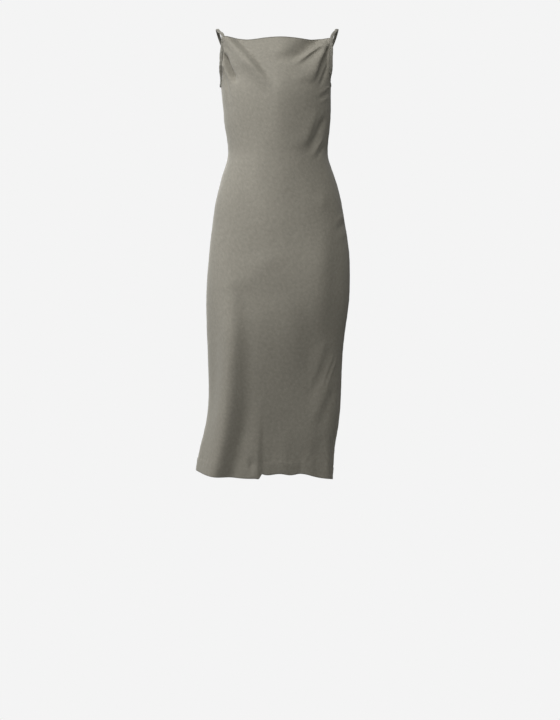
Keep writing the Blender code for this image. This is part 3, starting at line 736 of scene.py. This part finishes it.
def rolled_edge(panel, points, material):
    """The narrow rolled hem along the panel's top edge."""
    normal = grid_normals(points[:8], FACING[panel])[0]
    line = points[0] + np.array([0, 0, ROLL_RISE]) - normal * SHELL / 2
    line, normal, run = evenly(line, normal, ROLL_STEP)
    wobble = np.array([noise.noise(Vector((r / ROLL_WAVES, 7.3, 1.1))) for r in run])
    wide = ROLL_WIDTH * (1 + ROLL_WAVER * wobble)
    vertices, faces, uv = tube(line, normal, wide, ROLL_THICKNESS, ROLL_SIDES, ROLL_SQUARENESS, closed=False)
    return mesh_object(f"{panel}_top_roll", vertices, faces, material, uv)


def stitches(name, lines, length, gap, material):
    """Short stitches laid end to end along lines of points with normals, as one joined mesh."""
    vertices, faces = [], []
    for line, normal in lines:
        run = lengths(line)
        for start in np.arange(gap, run[-1] - length - gap, length + gap):
            at = start + STITCH_SHAPE["at"] * length
            middle = np.stack([np.interp(at, run, line[:, k]) for k in range(3)], axis=1)
            out = unit(np.stack([np.interp(at, run, normal[:, k]) for k in range(3)], axis=1))
            middle = middle + out * STITCH_SHAPE["out"][:, None]
            thick = 2 * STITCH_SHAPE["radius"]
            loops, quads, _ = tube(middle, out, thick, thick, STITCH_SIDES, 1.0, closed=False)
            faces += [[i + len(vertices) * len(loops) for i in f] for f in quads]
            vertices.append(loops)
    return mesh_object(name, np.concatenate(vertices), faces, material)


def hem_line(panel, points):
    """The line of stitching at the top of the turned hem, and the cloth's normals along it."""
    down = cloth_lengths(points)[1]
    middle = points.shape[1] // 2
    row = int(np.argmin(np.abs(down[-1, middle] - down[:, middle] - HEM_TURN + STITCH_BELOW)))
    normal = grid_normals(points, FACING[panel])[row]
    return points[row], normal


# ---------------------------------------------------------------- materials
# The satins: colour as linear red, green and blue, sheen, roughness, and how strong the weave's relief is.
SATINS = {
    "bias_satin": ((0.266, 0.251, 0.208), 0.3, 0.62, 0.08),
    "bias_satin_inside": ((0.235, 0.226, 0.195), 0.15, 0.7, 0.2),
    "satin_edging": ((0.225, 0.216, 0.184), 0.25, 0.55, 0.2),
}
# Patterns in the satins: the turn of each in degrees, the length and width of its features in mm, how finely
# it is detailed, and the share by which it changes the shade.
WEAVE = {
    "slubs": (-38, 24, 3.0, 1.0, 0.025),
    "clouds": (20, 120, 70, 1.0, 0.025),
    "mottle": (45, 10, 7, 1.5, 0.07),
    "warp": (45, 9, 0.7, 2.0, 0.1),
    "weft": (-45, 7, 0.8, 2.0, 0.06),
}
WEAVE_HEIGHT = {"warp": 0.6, "weft": 0.4, "slubs": 0.9}  # what each pattern adds to the relief
WEAVE_DEPTH = 0.25  # of the relief, mm
ROUGHNESS_SPREAD = 0.04  # that the slubs make in the roughness, either way
SPECULAR = 0.18
SHEEN_ROUGHNESS = 0.45
SHEEN_TINT = (0.8, 0.8, 0.76, 1)
NOISE_MIDDLE = (0.3, 0.7)  # the range that holds most of a noise texture's values
THREAD = (0.215, 0.207, 0.178)  # colour of the stitches, as linear red, green and blue
THREAD_GRAINS = 2600.0  # to a metre
THREAD_PATCHES = 130.0
THREAD_DEPTH = 0.05  # of the grain, mm


def linked(tree, kind, inputs=(), **settings):
    """A new node with its settings, its input values, and links where an input is another node's socket."""
    node = tree.nodes.new(kind)
    for key, value in settings.items():
        setattr(node, key, value)
    for key, value in dict(inputs).items():
        if isinstance(value, bpy.types.NodeSocket):
            tree.links.new(value, node.inputs[key])
        else:
            node.inputs[key].default_value = value
    return node


def stretched_noise(tree, coords, turn, along_mm, across_mm, detail):
    """Noise drawn out along one direction of the cloth, with features of the given sizes in mm."""
    size = (across_mm * MM, along_mm * MM, 1)
    inputs = {"Vector": coords, "Rotation": (0, 0, math.radians(turn)), "Scale": size}
    mapping = linked(tree, "ShaderNodeMapping", inputs, vector_type="TEXTURE")
    return linked(
        tree,
        "ShaderNodeTexNoise",
        {"Vector": mapping.outputs["Vector"], "Scale": 1.0, "Detail": detail, "Roughness": 0.55},
    ).outputs["Fac"]


def ranged(tree, value, low, high):
    """Noise stretched from its usual middle range to run from low to high."""
    usual_low, usual_high = NOISE_MIDDLE
    return linked(
        tree,
        "ShaderNodeMapRange",
        {"Value": value, "From Min": usual_low, "From Max": usual_high, "To Min": low, "To Max": high},
    ).outputs["Result"]


def product(tree, a, b):
    """Two values multiplied by a node."""
    return linked(tree, "ShaderNodeMath", {0: a, 1: b}, operation="MULTIPLY").outputs["Value"]


def total(tree, a, b):
    """Two values added by a node."""
    return linked(tree, "ShaderNodeMath", {0: a, 1: b}, operation="ADD").outputs["Value"]


def node_material(name):
    """A new material, its node tree and its principled shader."""
    material = bpy.data.materials.new(name)
    material.use_nodes = True
    return material, material.node_tree, material.node_tree.nodes["Principled BSDF"]


def satin(name, colour, sheen, roughness, bump):
    """Bias-cut satin: threads and slubs at 45 degrees, a soft sheen, and slight changes of shade."""
    material, tree, shader = node_material(name)
    coords = linked(tree, "ShaderNodeUVMap", uv_map="cloth").outputs["UV"]
    patterns, shade = {}, 1.0
    for pattern, (turn, length, width, detail, spread) in WEAVE.items():
        patterns[pattern] = stretched_noise(tree, coords, turn, length, width, detail)
        shade = product(tree, shade, ranged(tree, patterns[pattern], 1 - spread, 1 + spread))
    tinted = linked(tree, "ShaderNodeVectorMath", {0: colour, "Scale": shade}, operation="SCALE")
    tree.links.new(tinted.outputs["Vector"], shader.inputs["Base Color"])
    rough = ranged(tree, patterns["slubs"], roughness - ROUGHNESS_SPREAD, roughness + ROUGHNESS_SPREAD)
    tree.links.new(rough, shader.inputs["Roughness"])
    relief = 0.0
    for pattern, height in WEAVE_HEIGHT.items():
        relief = total(tree, relief, product(tree, patterns[pattern], height))
    depth = WEAVE_DEPTH * MM
    bumped = linked(tree, "ShaderNodeBump", {"Height": relief, "Strength": bump, "Distance": depth})
    tree.links.new(bumped.outputs["Normal"], shader.inputs["Normal"])
    shader.inputs["Specular IOR Level"].default_value = SPECULAR
    shader.inputs["Sheen Weight"].default_value = sheen
    shader.inputs["Sheen Roughness"].default_value = SHEEN_ROUGHNESS
    shader.inputs["Sheen Tint"].default_value = SHEEN_TINT
    return material


def sewing_thread(name, colour):
    """Spun thread: a fine grain, and slight changes of shade from stitch to stitch."""
    material, tree, shader = node_material(name)
    coords = linked(tree, "ShaderNodeTexCoord").outputs["Object"]
    grain, patches = (
        linked(tree, "ShaderNodeTexNoise", {"Vector": coords, "Scale": scale, "Detail": 1.0}).outputs["Fac"]
        for scale in (THREAD_GRAINS, THREAD_PATCHES)
    )
    shade = product(tree, ranged(tree, grain, 0.92, 1.08), ranged(tree, patches, 0.95, 1.05))
    tinted = linked(tree, "ShaderNodeVectorMath", {0: colour, "Scale": shade}, operation="SCALE")
    tree.links.new(tinted.outputs["Vector"], shader.inputs["Base Color"])
    tree.links.new(ranged(tree, grain, 0.55, 0.65), shader.inputs["Roughness"])
    depth = THREAD_DEPTH * MM
    bumped = linked(tree, "ShaderNodeBump", {"Height": grain, "Strength": 0.3, "Distance": depth})
    tree.links.new(bumped.outputs["Normal"], shader.inputs["Normal"])
    return material


def seen_or_lit(tree, seen, lit):
    """One shader where the camera looks straight at it, and the other for all the light that it gives."""
    path = linked(tree, "ShaderNodeLightPath")
    inputs = {0: path.outputs["Is Camera Ray"], 1: lit, 2: seen}
    return linked(tree, "ShaderNodeMixShader", inputs).outputs["Shader"]


def studio_surface(name, shown, lit):
    """The pale floor: the plain backdrop's own brightness where it is seen, and a plain surface for light."""
    material, tree, shader = node_material(name)
    tree.nodes.remove(shader)
    out = tree.nodes["Material Output"]
    glow = linked(tree, "ShaderNodeEmission", {"Color": (shown, shown, shown, 1), "Strength": 1.0})
    plain = linked(tree, "ShaderNodeBsdfDiffuse", {"Color": (lit, lit, lit, 1)})
    tree.links.new(seen_or_lit(tree, glow.outputs["Emission"], plain.outputs["BSDF"]), out.inputs["Surface"])
    return material


# ---------------------------------------------------------------- studio
FLOOR_LEVEL = -1566.0  # the wearer's soles, below the straps' crests
FLOOR_RADIUS = 9000.0
FLOOR_LIT = 0.33  # the floor's brightness for the light that it throws back on the dress
EYE_LEVEL = -566.0  # the camera's height
CAMERA_AWAY = 3500.0  # its distance in front of the side seams
VIEW_MIDDLE = (7.0, -811.0)  # x and z of the picture's middle, in the plane of the side seams
PICTURE_HEIGHT = 1764.0  # of that plane
SENSOR = 36.0  # width of the camera's film
BACKDROP = 0.905  # brightness of the floor and of the space behind, as seen
AMBIENT = 0.1  # strength of the light from all round
AMBIENT_COLOUR = (1.03, 1, 0.91, 1)
LIT_POINT = (0, 0, -0.55)  # the middle of the dress, in metres, that every light looks at
# Square soft lights, on the wearer's own sides: place and size in metres, power in watts, and how blue each
# is, where 1 is white.
LIGHTS = {
    "key": ((-0.4, -2.15, 1.45), 1.2, 50.0, 1.02),
    "right_front": ((-1.95, -1.15, 1.1), 1.2, 34.5, 1.02),
    "right_side": ((-2.55, 0.45, 0.3), 1.3, 20.5, 1.03),
    "left_fill": ((2.25, -1.3, 0.5), 1.3, 3.6, 0.94),
    "behind": ((-1.3, 2.8, 1.3), 1.3, 75, 1.0),
}


def studio():
    """The pale floor, and the plain space all round."""
    place = (0, 0, FLOOR_LEVEL * MM)
    bpy.ops.mesh.primitive_circle_add(vertices=96, radius=FLOOR_RADIUS * MM, fill_type="NGON", location=place)
    floor = bpy.context.object
    floor.name = "studio_floor"
    floor.data.materials.append(studio_surface("pale_floor", BACKDROP, FLOOR_LIT))
    world = bpy.data.worlds.new("studio")
    bpy.context.scene.world = world
    world.use_nodes = True
    tree = world.node_tree
    tree.nodes.clear()
    seen = linked(tree, "ShaderNodeBackground", {"Color": (BACKDROP, BACKDROP, BACKDROP, 1), "Strength": 1.0})
    light = linked(tree, "ShaderNodeBackground", {"Color": AMBIENT_COLOUR, "Strength": AMBIENT})
    out = tree.nodes.new("ShaderNodeOutputWorld")
    surface = seen_or_lit(tree, seen.outputs["Background"], light.outputs["Background"])
    tree.links.new(surface, out.inputs["Surface"])


def aimed(obj, target):
    """Turns a light to look at a point."""
    obj.rotation_mode = "QUATERNION"
    obj.rotation_quaternion = (Vector(target) - obj.location).to_track_quat("-Z", "Y")


def soft_light(name, place, size, power, blue):
    """A square soft light of the given size in metres, that looks at the middle of the dress."""
    light = bpy.data.lights.new(name, "AREA")
    light.shape = "RECTANGLE"
    light.size, light.size_y = size, size
    light.energy = power
    light.color = (1, 1, blue)
    obj = bpy.data.objects.new(name, light)
    obj.location = place
    aimed(obj, LIT_POINT)
    bpy.context.scene.collection.objects.link(obj)


def camera():
    """Level with the hips, square on to the front, with the picture's middle moved by the lens shift."""
    data = bpy.data.cameras.new("camera")
    data.sensor_width = SENSOR
    data.lens = SENSOR * CAMERA_AWAY / PICTURE_HEIGHT
    obj = bpy.data.objects.new("camera", data)
    bpy.context.scene.collection.objects.link(obj)
    obj.location = (0, -CAMERA_AWAY * MM, EYE_LEVEL * MM)
    data.shift_x = VIEW_MIDDLE[0] / PICTURE_HEIGHT
    data.shift_y = (VIEW_MIDDLE[1] - EYE_LEVEL) / PICTURE_HEIGHT
    obj.rotation_euler = (math.radians(90), 0, 0)
    bpy.context.scene.camera = obj


def lights():
    """Broad daylight from the wearer's right and front, a little fill on their left, and a light behind."""
    for name, row in LIGHTS.items():
        soft_light(name, *row)


def dress():
    """The seven pieces, each with its body, and with its solid hidden where it stands for one."""
    materials = {
        "outside": satin("bias_satin", *SATINS["bias_satin"]),
        "inside": satin("bias_satin_inside", *SATINS["bias_satin_inside"]),
    }
    edging = satin("satin_edging", *SATINS["satin_edging"])
    thread = sewing_thread("matching_thread", THREAD)
    grids = {panel: relieved(panel, panel_grid(panel)) for panel in FACING}
    for panel, points in grids.items():
        cloth = panel_piece(panel, points, materials)
        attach(cloth, "root")
        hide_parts(f"{panel}_panel")
        roll = rolled_edge(panel, points, edging)
        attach(roll, "root")
    for side in SIDES:
        strip = strap_piece(side, grids, edging)
        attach(strip, "root")
        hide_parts(f"strap_{side}")
    lines = [hem_line(panel, points) for panel, points in grids.items()]
    hem = stitches("hem_stitches", lines, STITCH, STITCH_GAP, thread)
    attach(hem, "root")


camera()
dress()
studio()
lights()
bpy.context.scene.view_settings.view_transform = "Standard"
